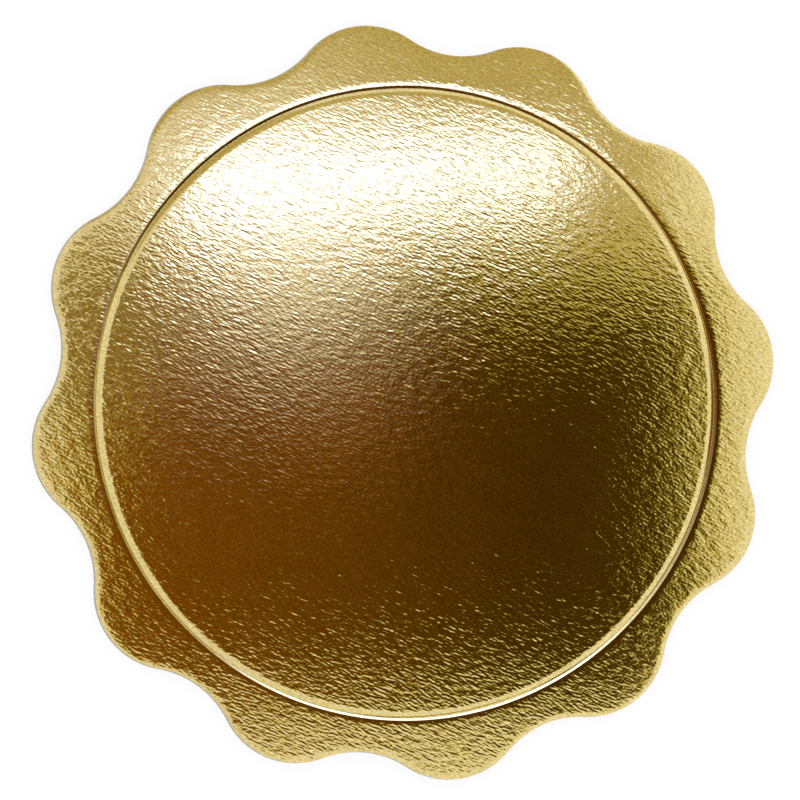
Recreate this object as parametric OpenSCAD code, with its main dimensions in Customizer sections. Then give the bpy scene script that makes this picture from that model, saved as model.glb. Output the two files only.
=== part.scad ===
// Scalloped cake board: gold foil paper over three pasted plies of grey board, with a white paper back.
// The five sheets are pasted flat, then one stroke of the press cuts the scallops and sinks the ring.
// The board lies on its white back. Z is up, and the origin is the middle of the underside.

/* [Board] */
// Diameter over the tips of the scallops
board_d = 300; // [260:1:400]
// Number of scallops round the edge
scallop_n = 12; // [9:1:15]
// Depth from a scallop's tip to the bottom of the dip beside it
scallop_depth = 11.3; // [8:0.1:18]
// Radius of a scallop's round tip
lobe_r = 31; // [20:0.5:38]

/* [Sheets] */
// Thickness of the gold foil paper
foil_t = 0.25; // [0.15:0.01:0.4]
// Thickness of one ply of grey board
ply_t = 0.85; // [0.75:0.01:1.5]
// Thickness of the white paper back
liner_t = 0.2; // [0.12:0.01:0.4]

/* [Pressed ring] */
// Width of the rim, from the ring's crease to the bottoms of the dips
rim_w = 14.6; // [6:0.1:40]
// Depth of the crease
crease_depth = 0.31; // [0.25:0.01:0.6]
// Width of the round shoulder inside the crease
shoulder_w = 3.6; // [2:0.1:4.5]
// Width of the straight wall that rises outside the crease
wall_w = 0.85; // [0.7:0.05:1.5]
// Share of the crease's depth that the wall rises
wall_share = 0.71; // [0.55:0.01:0.8]
// Width of the shallow tail between the wall and the flat rim
tail_w = 2.3; // [1.8:0.1:4]
// Share of the crease's depth that reaches down to the middle ply
press_share = 0.5; // [0.35:0.01:0.7]

/* [Hidden] */
$fn = 128;

// Levels of the flat faces, from the white back up
liner_top = liner_t;
lower_top = liner_top + ply_t;
middle_top = lower_top + ply_t;
upper_top = middle_top + ply_t;
board_top = upper_top + foil_t;

// The outline: each tip is an arc about a lobe centre, and each dip an arc about a dip centre outside the board,
// of the radius at which the two arcs touch
pitch = 360 / scallop_n;
tip_r = board_d / 2;
dip_r = tip_r - scallop_depth;
lobe_c = tip_r - lobe_r;
half_cos = cos(pitch / 2);
dip_arc_r = (lobe_r ^ 2 - lobe_c ^ 2 - dip_r ^ 2 + 2 * lobe_c * dip_r * half_cos)
    / (2 * (dip_r - lobe_c * half_cos - lobe_r));
dip_c = dip_r + dip_arc_r;
crease_r = dip_r - rim_w;

// The dips are cut this much larger than touching, so that no seam is left between the arcs
bite = 0.01;
// A pressed slope leaves the flat at this share of its mean angle
lead_share = 0.25;
// How far a cutter runs past the face that it cuts
past = 1;

// A pressed slope is an arc that falls by drop over width: its angles at its two ends, and its radius
function mean_angle(width, drop) = atan2(drop, width);
function lead_angle(width, drop) = lead_share * mean_angle(width, drop);
function foot_angle(width, drop) = 2 * mean_angle(width, drop) - lead_angle(width, drop);
function arc_radius(width, drop) = width / (sin(foot_angle(width, drop)) - sin(lead_angle(width, drop)));

// The star whose points are the lobe centres and the dip centres in turn: its sides cross the outline squarely,
// where a tip's arc meets a dip's arc
module star() {
    polygon([
        for (i = [0 : 2 * scallop_n - 1])
            (i % 2 == 0 ? lobe_c : dip_c) * [cos(i * pitch / 2), sin(i * pitch / 2)]
    ]);
}

// The cutting die's outline
module outline() {
    difference() {
        union() {
            star();
            for (i = [0 : scallop_n - 1])
                rotate(i * pitch)
                    translate([lobe_c, 0])
                        circle(lobe_r);
        }
        for (i = [0 : scallop_n - 1])
            rotate((i + 0.5) * pitch)
                translate([dip_c, 0])
                    circle(dip_arc_r + bite);
    }
}

// What a slope takes away, in section: all above the arc, which starts at the origin, falls to the right and
// runs on past its width by beyond
module slope_section(width, drop, beyond) {
    radius = arc_radius(width, drop);
    crest_x = radius * sin(lead_angle(width, drop));
    centre_z = radius * cos(lead_angle(width, drop));
    difference() {
        translate([-crest_x / 2, -centre_z])
            square([crest_x / 2 + width + beyond, centre_z + past]);
        translate([-crest_x, -centre_z])
            circle(radius);
    }
}

// What the wall takes away, in section: all above a straight line through the origin, which rises to the right by
// rise over the wall's width, up to past and down to the left as far as beyond
module wall_section(rise, beyond) {
    slope = rise / wall_w;
    polygon([[-beyond, -beyond * slope], [past / slope, past], [-beyond, past]]);
}

// The groove that the press's ring sinks into a face at level top: a round shoulder down to the crease,
// then a straight wall and a shallow tail back up
module groove(top, depth) {
    rise = wall_share * depth;
    rotate_extrude()
        intersection() {
            translate([crease_r - shoulder_w, top])
                slope_section(shoulder_w, depth, wall_w + tail_w + past);
            union() {
                translate([crease_r, top - depth])
                    wall_section(rise, shoulder_w + past);
                translate([crease_r + wall_w + tail_w, top])
                    mirror([1, 0])
                        slope_section(tail_w, depth - rise, wall_w + shoulder_w + past);
            }
        }
}

// A sheet as it is cut, before the press bends it
module cut_sheet(base, top) {
    translate([0, 0, base])
        linear_extrude(top - base)
            outline();
}

// All that lies under a pressed face at level top, which shapes the back of the sheet above it
module bed(top, depth) {
    difference() {
        translate([0, 0, -past])
            cylinder(h = top + past, r = tip_r + past);
        groove(top, depth);
    }
}

module gold_face() {
    color("goldenrod")
        difference() {
            cut_sheet(middle_top, board_top);
            groove(board_top, crease_depth);
            bed(upper_top, crease_depth);
        }
}

module upper_ply() {
    color("darkgray")
        difference() {
            cut_sheet(lower_top, upper_top);
            groove(upper_top, crease_depth);
            bed(middle_top, press_share * crease_depth);
        }
}

module middle_ply() {
    color("darkgray")
        difference() {
            cut_sheet(lower_top, middle_top);
            groove(middle_top, press_share * crease_depth);
        }
}

module lower_ply() {
    color("darkgray")
        cut_sheet(liner_top, lower_top);
}

module back_liner() {
    color("whitesmoke")
        cut_sheet(0, liner_top);
}

gold_face();
upper_ply();
middle_ply();
lower_ply();
back_liner();
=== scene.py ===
"""Looks of the scalloped gold cake board: grained foil with a rolled edge, layered cut edges, a paper back.
The light, floor and camera follow the photograph. Lengths are in metres, in the CAD part's own frame."""

import math
from collections import namedtuple

import bpy
from mathutils import Matrix, Vector


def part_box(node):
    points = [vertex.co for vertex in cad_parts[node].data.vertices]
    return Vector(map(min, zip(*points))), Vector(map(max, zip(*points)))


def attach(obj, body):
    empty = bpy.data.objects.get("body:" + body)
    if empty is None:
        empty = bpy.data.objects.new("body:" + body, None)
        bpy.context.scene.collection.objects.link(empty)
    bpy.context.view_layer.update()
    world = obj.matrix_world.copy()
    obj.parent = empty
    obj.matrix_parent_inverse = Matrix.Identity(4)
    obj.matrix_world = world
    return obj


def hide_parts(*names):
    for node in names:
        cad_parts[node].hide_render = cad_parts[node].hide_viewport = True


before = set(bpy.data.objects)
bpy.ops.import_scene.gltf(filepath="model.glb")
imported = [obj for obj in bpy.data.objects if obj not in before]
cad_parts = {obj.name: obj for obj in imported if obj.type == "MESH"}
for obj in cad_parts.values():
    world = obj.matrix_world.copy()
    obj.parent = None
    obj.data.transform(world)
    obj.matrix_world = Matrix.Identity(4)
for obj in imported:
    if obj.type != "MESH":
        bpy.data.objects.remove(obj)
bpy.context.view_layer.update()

MM = 0.001

# The outline: round tips about the lobe centres, and dips about centres outside the board, which touch
SCALLOPS = 12
SCALLOP_DEPTH = 11.3 * MM
PITCH = 2 * math.pi / SCALLOPS
TIP_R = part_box("gold_face")[1].x
DIP_R = TIP_R - SCALLOP_DEPTH
LOBE_R = 31 * MM
LOBE_C = TIP_R - LOBE_R
HALF_COS = math.cos(PITCH / 2)
DIP_ARC_R = (LOBE_R**2 - LOBE_C**2 - DIP_R**2 + 2 * LOBE_C * DIP_R * HALF_COS) / (
    2 * (DIP_R - LOBE_C * HALF_COS - LOBE_R)
)
DIP_C = DIP_R + DIP_ARC_R
# Direction from a lobe centre to the point where its arc meets the dip's
JOIN = math.atan2(DIP_C * math.sin(PITCH / 2), DIP_C * HALF_COS - LOBE_C)

# The pressed ring: a round shoulder falls to the crease, then a straight wall and a shallow tail rise
RIM_W = 14.6 * MM
CREASE_R = DIP_R - RIM_W
CREASE_DEPTH = 0.36 * MM
SHOULDER_W = 2.8 * MM
WALL_W = 1 * MM
WALL_SHARE = 0.76
TAIL_W = 2.3 * MM
BRIM_R = CREASE_R + WALL_W + TAIL_W
# A pressed slope leaves the flat at this share of its mean angle
LEAD_SHARE = 0.1
# Share of the crease's depth that reaches down to the middle ply
PRESS_SHARE = 0.5

# The rim droops on one side, from the ring out to the tips, and the knife rolled its edge over. The droop's
# fade round the rim and the roll follow a power, and a share of both reaches down to the middle ply
DROOP = 0.32 * MM
DROOP_TURN = math.radians(68)
ROLL_W = 3.8 * MM
ROLL_DROP = 0.16 * MM
FALL_POWER = 3
MIDDLE_BEND = 0.2

# The cut leans out from the foil to the back. Each sheet's cut is eased over a share of its thickness, down
# to a seam beside the next sheet
LEAN = 0.35 * MM
SEAM_SHARE = 0.18
SEAM_DEPTH = 0.09 * MM

# Levels of the faces between the sheets
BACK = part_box("back_liner")[0].z
LINER_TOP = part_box("back_liner")[1].z
LOWER_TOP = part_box("lower_ply")[1].z
MIDDLE_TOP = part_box("middle_ply")[1].z
UPPER_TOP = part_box("upper_ply")[1].z
BOARD_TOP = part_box("gold_face")[1].z

# Steps of the meshes: round a tip and a dip, and across the disc, the shoulder, the tail and the roll.
# The foil's face has more of the last three, by the factor FOIL_FINE
LOBE_STEPS = 32
DIP_STEPS = 24
DISC_STEPS = 5
SHOULDER_STEPS = 4
TAIL_STEPS = 3
ROLL_STEPS = 4
FOIL_FINE = 4
# Radius of the innermost ring
INNER_R = 20 * MM
# A straight face keeps a margin beside a bend, so that smooth shading leaves the rest of it straight
GUARD = 0.3 * MM
WALL_GUARD = 0.1 * MM
# Edges that turn by more than this are sharp
SHARP_TURN = math.radians(38)
# A face whose normal points down by more than this is on a sheet's back
BACK_NORMAL_Z = -0.5

# The photograph's view: the camera leans to the left of straight above, and a tip lies just above the right
VIEW_TURN = math.radians(-8.01)
VIEW_DISTANCE = 1.7137
VIEW_LEAN = math.radians(11.03)
CAMERA_SIDE = -VIEW_DISTANCE * math.sin(VIEW_LEAN)
CAMERA_HEIGHT = VIEW_DISTANCE * math.cos(VIEW_LEAN)
RIGHT = Vector((math.cos(VIEW_TURN), math.sin(VIEW_TURN), 0))
UP = Vector((-RIGHT.y, RIGHT.x, 0))
# Lens and sensor in millimetres, and the shift as a share of the picture's width
LENS = 195.7
SENSOR = 36
SHIFT = (-0.0118, 0.0042)
CLIP_END = 50

# The foil's grain runs this way, and its slopes are read this share of a ridge to each side of a point
GRAIN_TURN = VIEW_TURN + math.radians(-24)
RIDGE_REACH = 0.35
# The Z of the face's normal at which the press has ironed the grain out, and at which the grain is whole
IRONED_Z = 0.9965
GRAINED_Z = 0.9997
# Most of a noise lies between these
NOISE_LOW = 0.3
NOISE_HIGH = 0.7
FOIL_ROUGHNESS = (0.05, 0.09)
FIBRE_DETAIL = 4

# The tent's roof, which is placed by the points where the camera sees it in the flat face
ROOF_HEIGHT = 0.5
ROOF_MIDDLE = (0, 0.175)
ROOF_HALF = (0.25, 0.425)
MIRROR_SHARE = ROOF_HEIGHT / CAMERA_HEIGHT
# Its colours change from left to right between these
SIDE_START = -120 * MM
SIDE_STOP = 50 * MM
CLOTH_LEFT = (0.97, 0.96, 1.2)
CLOTH_RIGHT = (1.06, 1.07, 1.28)

# A soft rectangle on the roof: its middle, half its size, its turn, half its soft edge's width and its
# colours. Lengths are in millimetres, and a panel with no right colour has one colour all over
Panel = namedtuple("Panel", "middle half turn soft left right", defaults=[None])
OPENING_MIDDLE = (-8, -37.5)
OPENING_HALF = (126, 88.5)
OPENING_TURN = -0.02
BORDER_HALF = (OPENING_HALF[0] + 8, OPENING_HALF[1] + 6)
LAMP_TURN = 0.07
# Each panel is painted over those before it
ROOF_PANELS = [
    # Dimmer cloth beyond the lamp
    Panel((5, 138), (103, 98), 0, 16, (0.62, 0.55, 0.36)),
    # The opening's amber border
    Panel(OPENING_MIDDLE, BORDER_HALF, OPENING_TURN, 20, (0.9, 0.82, 0.12)),
    # The dark opening
    Panel(OPENING_MIDDLE, OPENING_HALF, OPENING_TURN, 20, (0.235, 0.088, 0.004), (0.066, 0.032, 0.0005)),
    # A warm patch in the opening
    Panel((-28, -2), (22, 14), 0, 20, (0.28, 0.115, 0.02)),
    # Olive cloth at the opening's left
    Panel((-124, 26), (22, 34), 0, 16, (0.3, 0.215, 0.06)),
    # The dim corner at the far left
    Panel((-190, 195), (90, 75), 0, 16, (0.6, 0.5, 0.3)),
    # A glow beside the lamp
    Panel((-50, 77), (31, 47), 0.094, 42, (1.26, 1.3, 2)),
    # The lamp's halo
    Panel((-16, 88), (79, 19), LAMP_TURN, 22, (1.3, 1.4, 3), (1.08, 1.15, 2)),
    # The lamp
    Panel((-9, 89), (78, 12.5), LAMP_TURN, 14, (3.5, 4.1, 10), (2.1, 2.5, 5.5)),
]

# The tent's walls, with rows of windows at these heights
WALL_CARDS = 9
WALL_REACH = 0.9
WALL_HEIGHT = 1.5
WALL_COLOUR = (0.2, 0.125, 0.028)
WINDOW_ROWS = (0.29, 0.75, 1.21)
WINDOW_HALF = (0.2, 0.13)
WINDOW_SOFT = 0.06
WINDOW_COLOUR = (1.2, 1.16, 1.12)

# The floor lies a little below the back, and reaches as little under it. Where it is seen, a glow adds what
# its own tone lacks of white
FLOOR_REACH = 6
FLOOR_GAP = 0.05 * MM
FLOOR_TONE = 0.27
FLOOR_GLOW = 0.75
WHITE = (1, 1, 1, 1)

# Places of the colours among the sockets of a mix node
MIX_FIRST = 6
MIX_SECOND = 7
MIX_RESULT = 2


def polar(radius, angle):
    """A point in the plane by its distance from the middle and its angle."""
    return Vector((radius * math.cos(angle), radius * math.sin(angle)))


def placed(x, y, z):
    """A point by its distances right, up and out in the photograph's view of the flat board."""
    return RIGHT * x + UP * y + Vector((0, 0, z))


def outline_ring(inset):
    """The outline moved inwards by inset, as a list of points that runs anticlockwise."""
    points = []
    for k in range(SCALLOPS):
        axis = k * PITCH
        for i in range(LOBE_STEPS):
            turn = axis + JOIN * (2 * i / LOBE_STEPS - 1)
            points.append(polar(LOBE_C, axis) + polar(LOBE_R - inset, turn))
        axis += PITCH / 2
        for i in range(DIP_STEPS):
            turn = axis + (JOIN - PITCH / 2) * (1 - 2 * i / DIP_STEPS)
            points.append(polar(DIP_C, axis) - polar(DIP_ARC_R + inset, turn))
    return points


OUTLINE_ANGLES = [math.atan2(p.y, p.x) for p in outline_ring(0)]


def circle_ring(radius):
    """A circle with its points at the same angles as the outline's."""
    return [polar(radius, angle) for angle in OUTLINE_ANGLES]


def press_fall(run, width, depth):
    """How far a pressed slope of a width and depth has fallen after run: an arc that steepens."""
    if run <= 0 or depth == 0:
        return 0
    mean = math.atan2(depth, width)
    lead = LEAD_SHARE * mean
    radius = width / (math.sin(2 * mean - lead) - math.sin(lead))
    start = radius * math.sin(lead)
    return radius * math.cos(lead) - math.sqrt(radius**2 - (start + run) ** 2)


def ring_fall(radius, depth):
    """How far the pressed ring has fallen at a radius."""
    past = radius - CREASE_R
    if past < 0:
        return press_fall(past + SHOULDER_W, SHOULDER_W, depth)
    if past < WALL_W:
        return depth * (1 - WALL_SHARE * past / WALL_W)
    return press_fall(WALL_W + TAIL_W - past, TAIL_W, depth * (1 - WALL_SHARE))


def rim_fall(point, inset):
    """How far the rim has fallen at a point, which lies inset from the cut."""
    side = max(0, point.normalized() @ polar(1, DROOP_TURN))
    droop = DROOP * side**FALL_POWER * max(0, point.length - BRIM_R) / (TIP_R - BRIM_R)
    roll = ROLL_DROP * (max(0, ROLL_W - inset) / ROLL_W) ** FALL_POWER
    return droop + roll


def spread(start, stop, steps):
    """Even steps from start up to stop, without stop."""
    return [start + (stop - start) * i / steps for i in range(steps)]


def ring_radii(fine):
    """Radii of the rings from the middle to the flat rim, closest together on the pressed ring."""
    crest = CREASE_R - SHOULDER_W
    wall_top = CREASE_R + WALL_W
    radii = spread(INNER_R, crest - GUARD, DISC_STEPS) + [crest - GUARD]
    radii += spread(crest, CREASE_R, SHOULDER_STEPS * fine)
    radii += [CREASE_R, CREASE_R + WALL_GUARD, wall_top - WALL_GUARD]
    radii += spread(wall_top, BRIM_R, TAIL_STEPS * fine)
    return radii + [BRIM_R, BRIM_R + GUARD]


def cut_inset(level):
    """How far inside the outline the leaning cut lies at a level."""
    return LEAN * (level - BACK) / (BOARD_TOP - BACK)


# A face of a sheet: its level, the ring's depth in it, its share of the rim's fall, its seam and its fineness
Face = namedtuple("Face", "level depth bend seam fine")
FACES = [
    Face(BOARD_TOP, CREASE_DEPTH, 1, 0, FOIL_FINE),
    Face(UPPER_TOP, CREASE_DEPTH, 1, SEAM_DEPTH, 1),
    Face(MIDDLE_TOP, PRESS_SHARE * CREASE_DEPTH, MIDDLE_BEND, SEAM_DEPTH, 1),
    Face(LOWER_TOP, 0, 0, SEAM_DEPTH, 1),
    Face(LINER_TOP, 0, 0, SEAM_DEPTH, 1),
    Face(BACK, 0, 0, 0, 1),
]


def face_rings(face):
    """Rings of a face, from the middle to the cut, as lists of points in space."""
    cut = cut_inset(face.level) + face.seam
    rings = []
    for radius in ring_radii(face.fine):
        height = face.level - ring_fall(radius, face.depth)
        rings.append([Vector((*p, height - face.bend * rim_fall(p, ROLL_W))) for p in circle_ring(radius)])
    for inset in [ROLL_W + GUARD] + spread(ROLL_W, cut, ROLL_STEPS * face.fine) + [cut]:
        points = outline_ring(inset)
        rings.append([Vector((*p, face.level - face.bend * rim_fall(p, inset))) for p in points])
    return rings


def cut_rings(top, bottom, top_level, bottom_level):
    """Rings round a sheet's cut, between the rings where its two faces end in the seams."""
    rings = []
    for share in (SEAM_SHARE, 1 - SEAM_SHARE):
        inset = cut_inset(top_level + (bottom_level - top_level) * share)
        ends = zip(outline_ring(inset), top[-1], bottom[-1])
        rings.append([Vector((*p, a.z + (b.z - a.z) * share)) for p, a, b in ends])
    return rings


def linked(name, data):
    """A new object in the scene."""
    piece = bpy.data.objects.new(name, data)
    bpy.context.scene.collection.objects.link(piece)
    return piece


def mesh_piece(name, vertices, faces, materials):
    """A new mesh object with its materials."""
    mesh = bpy.data.meshes.new(name)
    mesh.from_pydata(vertices, [], faces)
    mesh.update()
    for material in materials:
        mesh.materials.append(material)
    return linked(name, mesh)


def sheet(name, top, cut, bottom, materials):
    """A closed sheet of two faces and the cut between them, all lists of rings. A second material covers
    the cut and the back."""
    rings = top + cut + bottom[::-1]
    count = len(rings[0])
    vertices = [p for ring in rings for p in ring]
    faces = []
    for j in range(len(rings) - 1):
        for i in range(count):
            k = (i + 1) % count
            faces.append((j * count + i, (j + 1) * count + i, (j + 1) * count + k, j * count + k))
    last = len(vertices)
    vertices.append(Vector((0, 0, top[0][0].z)))
    vertices.append(Vector((0, 0, bottom[0][0].z)))
    end = (len(rings) - 1) * count
    for i in range(count):
        k = (i + 1) % count
        faces.append((last, i, k))
        faces.append((last + 1, end + k, end + i))
    piece = mesh_piece(name, vertices, faces, materials)
    piece.data.shade_smooth()
    piece.data.set_sharp_from_angle(angle=SHARP_TURN)
    if len(materials) > 1:
        first_cut = (len(top) - 1) * count
        for polygon in piece.data.polygons:
            if first_cut <= polygon.index < end or polygon.normal.z < BACK_NORMAL_Z:
                polygon.material_index = 1
    return piece


class Nodes:
    """A material's node tree, with short ways to add and join nodes."""

    def __init__(self, name):
        self.material = bpy.data.materials.new(name)
        self.material.use_nodes = True
        self.tree = self.material.node_tree
        self.shader = self.tree.nodes["Principled BSDF"]
        self.output = self.tree.nodes["Material Output"]

    def add(self, kind, **settings):
        """A new node with its settings."""
        node = self.tree.nodes.new(kind)
        for key, value in settings.items():
            setattr(node, key, value)
        return node

    def join(self, source, target):
        """Links an output to an input."""
        self.tree.links.new(source, target)

    def feed(self, value, target):
        """Gives an input an output to follow, or a fixed value."""
        if isinstance(value, bpy.types.NodeSocket):
            self.join(value, target)
        else:
            target.default_value = value

    def mapped(self, place, turn, scale=(1, 1, 1)):
        """The object's own coordinates from a place, along turned axes and in units of scale."""
        coordinates = self.add("ShaderNodeTexCoord")
        mapping = self.add("ShaderNodeMapping", vector_type="TEXTURE")
        mapping.inputs["Location"].default_value = (*place, 0)
        mapping.inputs["Rotation"].default_value = (0, 0, turn)
        mapping.inputs["Scale"].default_value = scale
        self.join(coordinates.outputs["Object"], mapping.inputs["Vector"])
        return mapping.outputs["Vector"]

    def noise(self, cell, detail, seed=0.0, shift=(0, 0)):
        """Noise whose cells have the given lengths along the grain, across it and up, moved by shift."""
        place = Vector((seed, seed)) + Matrix.Rotation(GRAIN_TURN, 2) @ Vector(shift)
        noise = self.add("ShaderNodeTexNoise")
        noise.inputs["Scale"].default_value = 1
        noise.inputs["Detail"].default_value = detail
        self.join(self.mapped(place, GRAIN_TURN, cell), noise.inputs["Vector"])
        return noise.outputs["Fac"]

    def number(self, operation, first, second):
        """Maths on two numbers, each an output or fixed."""
        node = self.add("ShaderNodeMath", operation=operation)
        self.feed(first, node.inputs[0])
        self.feed(second, node.inputs[1])
        return node.outputs["Value"]

    def vector(self, operation, *values):
        """Maths on vectors, each an output or fixed."""
        node = self.add("ShaderNodeVectorMath", operation=operation)
        for value, target in zip(values, node.inputs):
            self.feed(value, target)
        return node.outputs["Vector"]

    def scaled(self, vector, share):
        """A vector times a number."""
        node = self.add("ShaderNodeVectorMath", operation="SCALE")
        self.join(vector, node.inputs["Vector"])
        self.join(share, node.inputs["Scale"])
        return node.outputs["Vector"]

    def part(self, vector, axis):
        """The part of a vector along one axis."""
        parts = self.add("ShaderNodeSeparateXYZ")
        self.join(vector, parts.inputs["Vector"])
        return parts.outputs[axis]

    def fitted(self, value, start, stop, first=0, last=1, kind="LINEAR"):
        """A number that goes from first to last as value goes from start to stop."""
        node = self.add("ShaderNodeMapRange", interpolation_type=kind)
        node.inputs["From Min"].default_value = start
        node.inputs["From Max"].default_value = stop
        node.inputs["To Min"].default_value = first
        node.inputs["To Max"].default_value = last
        self.join(value, node.inputs["Value"])
        return node.outputs["Result"]

    def soft_step(self, value, start, stop):
        """0 up to start, 1 from stop, smooth between."""
        return self.fitted(value, start, stop, kind="SMOOTHSTEP")

    def soft_box(self, middle, half, turn, soft):
        """1 inside a turned rectangle and 0 outside, with soft edges."""
        size = self.vector("ABSOLUTE", self.mapped(middle, turn))
        across = self.soft_step(self.part(size, "X"), half[0] + soft, half[0] - soft)
        along = self.soft_step(self.part(size, "Y"), half[1] + soft, half[1] - soft)
        return self.number("MULTIPLY", across, along)

    def ramp(self, noise, dark, light):
        """A colour that goes from dark to light with a noise."""
        ramp = self.add("ShaderNodeValToRGB")
        first, last = ramp.color_ramp.elements
        first.position = NOISE_LOW
        first.color = (*dark, 1)
        last.position = NOISE_HIGH
        last.color = (*light, 1)
        self.join(noise, ramp.inputs["Fac"])
        return ramp.outputs["Color"]

    def mixed(self, share, first, second):
        """A mix of two colours, each an output or fixed."""
        mix = self.add("ShaderNodeMix", data_type="RGBA")
        self.join(share, mix.inputs["Factor"])
        for place, colour in ((MIX_FIRST, first), (MIX_SECOND, second)):
            self.feed((*colour, 1) if isinstance(colour, tuple) else colour, mix.inputs[place])
        return mix.outputs[MIX_RESULT]

    def bump(self, height, strength, distance):
        """Bumps on the shader's surface."""
        bump = self.add("ShaderNodeBump")
        bump.inputs["Strength"].default_value = strength
        bump.inputs["Distance"].default_value = distance
        self.join(height, bump.inputs["Height"])
        self.join(bump.outputs["Normal"], self.shader.inputs["Normal"])

    def lamp(self, colour):
        """The material, made to give off light of a colour in place of its shader."""
        self.tree.nodes.remove(self.shader)
        emission = self.add("ShaderNodeEmission")
        self.join(colour, emission.inputs["Color"])
        self.join(emission.outputs["Emission"], self.output.inputs["Surface"])
        return self.material


def ridge_fall(nodes, cell, shift, seed):
    """How much lower a field of ridges is on one side of a point than on the other."""
    ahead = nodes.noise(cell, 0, seed, shift)
    behind = nodes.noise(cell, 0, seed, (-shift[0], -shift[1]))
    return nodes.number("SUBTRACT", ahead, behind)


def ridges(nodes, length, width, along, across, seed):
    """The tilts of a field of ridges that run along the grain, by their slopes along and across it."""
    cell = (length, width, 1)
    tilt = nodes.add("ShaderNodeCombineXYZ")
    nodes.join(ridge_fall(nodes, cell, (RIDGE_REACH * length, 0), seed), tilt.inputs["X"])
    nodes.join(ridge_fall(nodes, cell, (0, RIDGE_REACH * width), seed), tilt.inputs["Y"])
    rotate = nodes.add("ShaderNodeVectorRotate", rotation_type="Z_AXIS")
    rotate.inputs["Angle"].default_value = GRAIN_TURN
    sized = nodes.vector("MULTIPLY", tilt.outputs["Vector"], (along, across, 0))
    nodes.join(sized, rotate.inputs["Vector"])
    return rotate.outputs["Vector"]


def worn(nodes, direction, start, stop, least):
    """A share that falls from 1 to least between two distances from the middle, along a direction."""
    coordinates = nodes.add("ShaderNodeTexCoord")
    distance = nodes.add("ShaderNodeVectorMath", operation="DOT_PRODUCT")
    distance.inputs[1].default_value = direction
    nodes.join(coordinates.outputs["Object"], distance.inputs[0])
    return nodes.fitted(distance.outputs["Value"], start, stop, 1, least)


def foil_normal(nodes):
    """The foil's normal with its grain, which is ironed out where the press bends it, and flatter towards
    the top and the right."""
    streaks = ridges(nodes, length=2.7 * MM, width=0.72 * MM, along=0.025, across=0.132, seed=0.31)
    pimples = ridges(nodes, length=1.1 * MM, width=0.85 * MM, along=0.055, across=0.06, seed=0.0)
    waves = ridges(nodes, length=4.5 * MM, width=1.9 * MM, along=0.033, across=0.05, seed=0.57)
    grain = nodes.vector("ADD", nodes.vector("ADD", streaks, pimples), waves)
    normal = nodes.add("ShaderNodeNewGeometry").outputs["Normal"]
    pressed = nodes.soft_step(nodes.part(normal, "Z"), IRONED_Z, GRAINED_Z)
    upper = worn(nodes, UP, start=20 * MM, stop=130 * MM, least=0.55)
    right = worn(nodes, RIGHT, start=90 * MM, stop=135 * MM, least=0.6)
    strength = nodes.number("MULTIPLY", pressed, nodes.number("MULTIPLY", upper, right))
    return nodes.vector("NORMALIZE", nodes.vector("ADD", normal, nodes.scaled(grain, strength)))


def gold_foil():
    """Bright foil with a fine grain of ridges that all run one way."""
    nodes = Nodes("gold_foil")
    nodes.shader.inputs["Metallic"].default_value = 1
    nodes.join(foil_normal(nodes), nodes.shader.inputs["Normal"])
    tone = nodes.noise(cell=(14 * MM, 8 * MM, 1), detail=3, seed=0.83)
    gold = nodes.ramp(tone, dark=(0.74, 0.59, 0.2), light=(0.8, 0.65, 0.24))
    streak = nodes.noise(cell=(1.6 * MM, 0.6 * MM, 1), detail=1, seed=0.11)
    shade = nodes.ramp(streak, dark=(0.74, 0.74, 0.74), light=(1.18, 1.18, 1.18))
    nodes.join(nodes.vector("MULTIPLY", gold, shade), nodes.shader.inputs["Base Color"])
    nodes.join(nodes.fitted(tone, 0, 1, *FOIL_ROUGHNESS), nodes.shader.inputs["Roughness"])
    return nodes.material


def fibre(name, dark, light, cell, roughness, strength, distance):
    """Matt paper or board with short fibres and a cloudy tone."""
    nodes = Nodes(name)
    nodes.shader.inputs["Roughness"].default_value = roughness
    strands = nodes.noise(cell, FIBRE_DETAIL)
    nodes.join(nodes.ramp(strands, dark, light), nodes.shader.inputs["Base Color"])
    nodes.bump(strands, strength, distance)
    return nodes.material


def grey_board():
    """The cut edge of the outer plies."""
    return fibre(
        "grey_board",
        dark=(0.58, 0.53, 0.43),
        light=(0.76, 0.7, 0.58),
        cell=(1.2 * MM, 1.2 * MM, 0.12 * MM),
        roughness=0.9,
        strength=0.6,
        distance=0.1 * MM,
    )


def inner_board():
    """The cut edge of the middle ply, a little darker."""
    return fibre(
        "inner_board",
        dark=(0.47, 0.425, 0.34),
        light=(0.68, 0.625, 0.51),
        cell=(0.9 * MM, 0.9 * MM, 0.15 * MM),
        roughness=0.9,
        strength=0.6,
        distance=0.1 * MM,
    )


def foil_paper_core():
    """The paper under the foil, which shows at its cut."""
    return fibre(
        "foil_paper_core",
        dark=(0.68, 0.62, 0.5),
        light=(0.86, 0.8, 0.66),
        cell=(0.8 * MM, 0.8 * MM, 0.1 * MM),
        roughness=0.85,
        strength=0.4,
        distance=0.05 * MM,
    )


def white_paper():
    """The uncoated paper of the back."""
    return fibre(
        "white_paper",
        dark=(0.76, 0.75, 0.72),
        light=(0.88, 0.87, 0.84),
        cell=(3 * MM, 0.7 * MM, 0.7 * MM),
        roughness=0.8,
        strength=0.35,
        distance=0.06 * MM,
    )


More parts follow.
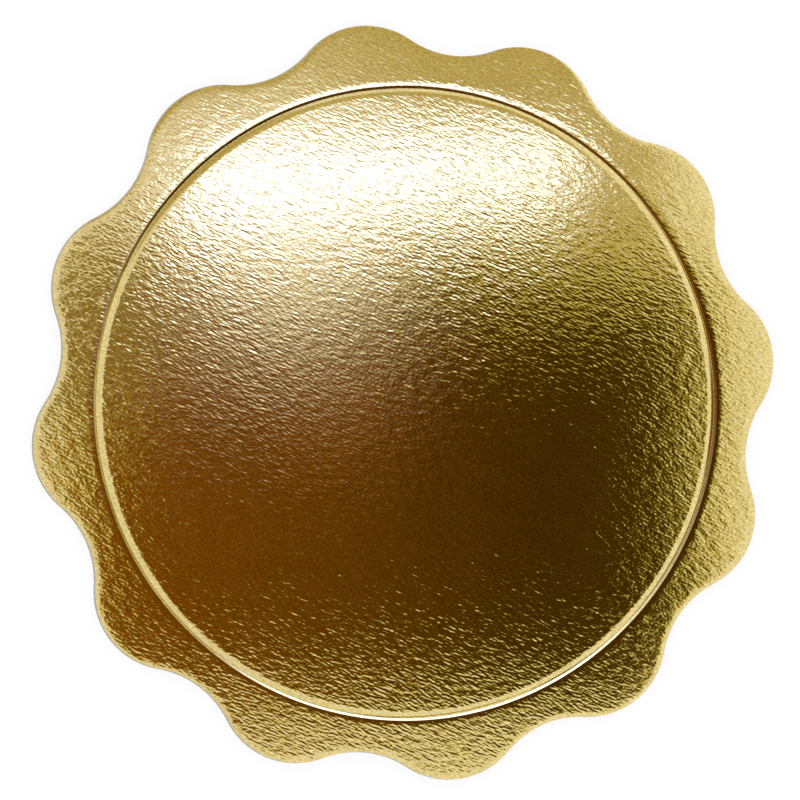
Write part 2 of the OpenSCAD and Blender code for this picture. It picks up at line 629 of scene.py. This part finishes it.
def board_pieces():
    """The five sheets, from the foil down. Each lies on the next, and stands for its CAD node."""
    foil = gold_foil()
    grey = grey_board()
    inner = inner_board()
    core = foil_paper_core()
    white = white_paper()
    # Each sheet's name and materials, and the node and slot that it stands for
    rows = [
        ("foil_face", [foil, core], "gold_face", "gold_foil_paper"),
        ("ply_1", [grey], "upper_ply", "grey_board"),
        ("ply_2", [inner], "middle_ply", "grey_board"),
        ("ply_3", [grey], "lower_ply", "grey_board"),
        ("paper_back", [white], "back_liner", "white_paper"),
    ]
    rings = [face_rings(face) for face in FACES]
    for i, (name, materials, node, slot) in enumerate(rows):
        cut = cut_rings(rings[i], rings[i + 1], FACES[i].level, FACES[i + 1].level)
        piece = sheet(name, rings[i], cut, rings[i + 1], materials)
        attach(piece, "root")
        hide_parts(node)


def card(name, middle, half, material):
    """A rectangle of the tent in its own X and Y, which the camera doesn't see."""
    signs = ((-1, -1), (1, -1), (1, 1), (-1, 1))
    corners = [Vector((middle[0] + x * half[0], middle[1] + y * half[1], 0)) for x, y in signs]
    piece = mesh_piece(name, corners, [(0, 1, 2, 3)], [material])
    piece.visible_camera = False
    return piece


def tent_cloth():
    """The inside of the tent's roof: pale cloth with the panels painted on it."""
    nodes = Nodes("tent_cloth")
    coordinates = nodes.add("ShaderNodeTexCoord")
    side = nodes.fitted(nodes.part(coordinates.outputs["Object"], "X"), SIDE_START, SIDE_STOP)
    colour = nodes.mixed(side, CLOTH_LEFT, CLOTH_RIGHT)
    for panel in ROOF_PANELS:
        middle = [MM * length for length in panel.middle]
        half = [MM * length for length in panel.half]
        share = nodes.soft_box(middle, half, panel.turn, panel.soft * MM)
        paint = nodes.mixed(side, panel.left, panel.right) if panel.right else panel.left
        colour = nodes.mixed(share, colour, paint)
    return nodes.lamp(colour)


def tent_roof():
    """The roof. Its own X and Y are those of the point where the camera sees it in the flat face."""
    roof = card("tent_roof", ROOF_MIDDLE, ROOF_HALF, tent_cloth())
    size = Matrix.Diagonal((1 + MIRROR_SHARE, 1 + MIRROR_SHARE, 1, 1))
    place = Matrix.Translation(placed(-CAMERA_SIDE * MIRROR_SHARE, 0, ROOF_HEIGHT))
    roof.matrix_world = place @ Matrix.Rotation(VIEW_TURN, 4, "Z") @ size


def wall_cloth():
    """A side of the tent: lit windows of cloth in a dim amber frame."""
    nodes = Nodes("wall_cloth")
    colour = WALL_COLOUR
    for height in WINDOW_ROWS:
        window = nodes.soft_box((0, height), WINDOW_HALF, 0, WINDOW_SOFT)
        colour = nodes.mixed(window, colour, WINDOW_COLOUR)
    return nodes.lamp(colour)


def tent_walls():
    """Cards that stand all round, which only the foil shows."""
    material = wall_cloth()
    half = (WALL_REACH * math.tan(math.pi / WALL_CARDS), WALL_HEIGHT / 2)
    upright = Matrix.Translation((0, WALL_REACH, 0)) @ Matrix.Rotation(math.pi / 2, 4, "X")
    for k in range(WALL_CARDS):
        wall = card(f"tent_wall_{k + 1}", (0, WALL_HEIGHT / 2), half, material)
        wall.matrix_world = Matrix.Rotation(2 * math.pi * k / WALL_CARDS, 4, "Z") @ upright
        wall.visible_diffuse = False
        wall.visible_shadow = False


def sky():
    """Even white light from all round."""
    world = bpy.data.worlds.new("tent")
    world.use_nodes = True
    background = world.node_tree.nodes["Background"]
    background.inputs["Color"].default_value = WHITE
    background.inputs["Strength"].default_value = 1
    bpy.context.scene.world = world


def floor_paint():
    """White where the camera, a gloss or a glass shows it, and clear from below."""
    nodes = Nodes("floor")
    nodes.shader.inputs["Base Color"].default_value = (FLOOR_TONE, FLOOR_TONE, FLOOR_TONE, 1)
    nodes.shader.inputs["Roughness"].default_value = 1
    nodes.shader.inputs["Emission Color"].default_value = WHITE
    path = nodes.add("ShaderNodeLightPath").outputs
    seen = nodes.number("MAXIMUM", path["Is Camera Ray"], path["Is Glossy Ray"])
    seen = nodes.number("MAXIMUM", seen, path["Is Transmission Ray"])
    nodes.join(nodes.number("MULTIPLY", seen, FLOOR_GLOW), nodes.shader.inputs["Emission Strength"])
    geometry = nodes.add("ShaderNodeNewGeometry")
    clear = nodes.add("ShaderNodeBsdfTransparent")
    both = nodes.add("ShaderNodeMixShader")
    nodes.join(geometry.outputs["Backfacing"], both.inputs["Fac"])
    nodes.join(nodes.shader.outputs["BSDF"], both.inputs[1])
    nodes.join(clear.outputs["BSDF"], both.inputs[2])
    nodes.join(both.outputs["Shader"], nodes.output.inputs["Surface"])
    return nodes.material


def floor():
    """A floor that is open under the board, so that the back can be seen."""
    level = BACK - FLOOR_GAP
    inner = [Vector((*p, level)) for p in outline_ring(FLOOR_GAP)]
    outer = [Vector((*p, level)) for p in circle_ring(FLOOR_REACH)]
    count = len(inner)
    faces = [(i, count + i, count + (i + 1) % count, (i + 1) % count) for i in range(count)]
    mesh_piece("floor", inner + outer, faces, [floor_paint()])


def camera():
    """The photograph's camera, which looks at the middle of the board's face."""
    data = bpy.data.cameras.new("camera")
    data.lens = LENS
    data.sensor_width = SENSOR
    data.shift_x, data.shift_y = SHIFT
    data.clip_end = CLIP_END
    view = linked("camera", data)
    place = placed(CAMERA_SIDE, 0, CAMERA_HEIGHT + BOARD_TOP)
    back = (place - Vector((0, 0, BOARD_TOP))).normalized()
    side = UP.cross(back)
    view.matrix_world = Matrix.Translation(place) @ Matrix((side, UP, back)).transposed().to_4x4()
    bpy.context.scene.camera = view


board_pieces()
tent_walls()
tent_roof()
sky()
floor()
camera()
bpy.context.scene.view_settings.view_transform = "Standard"
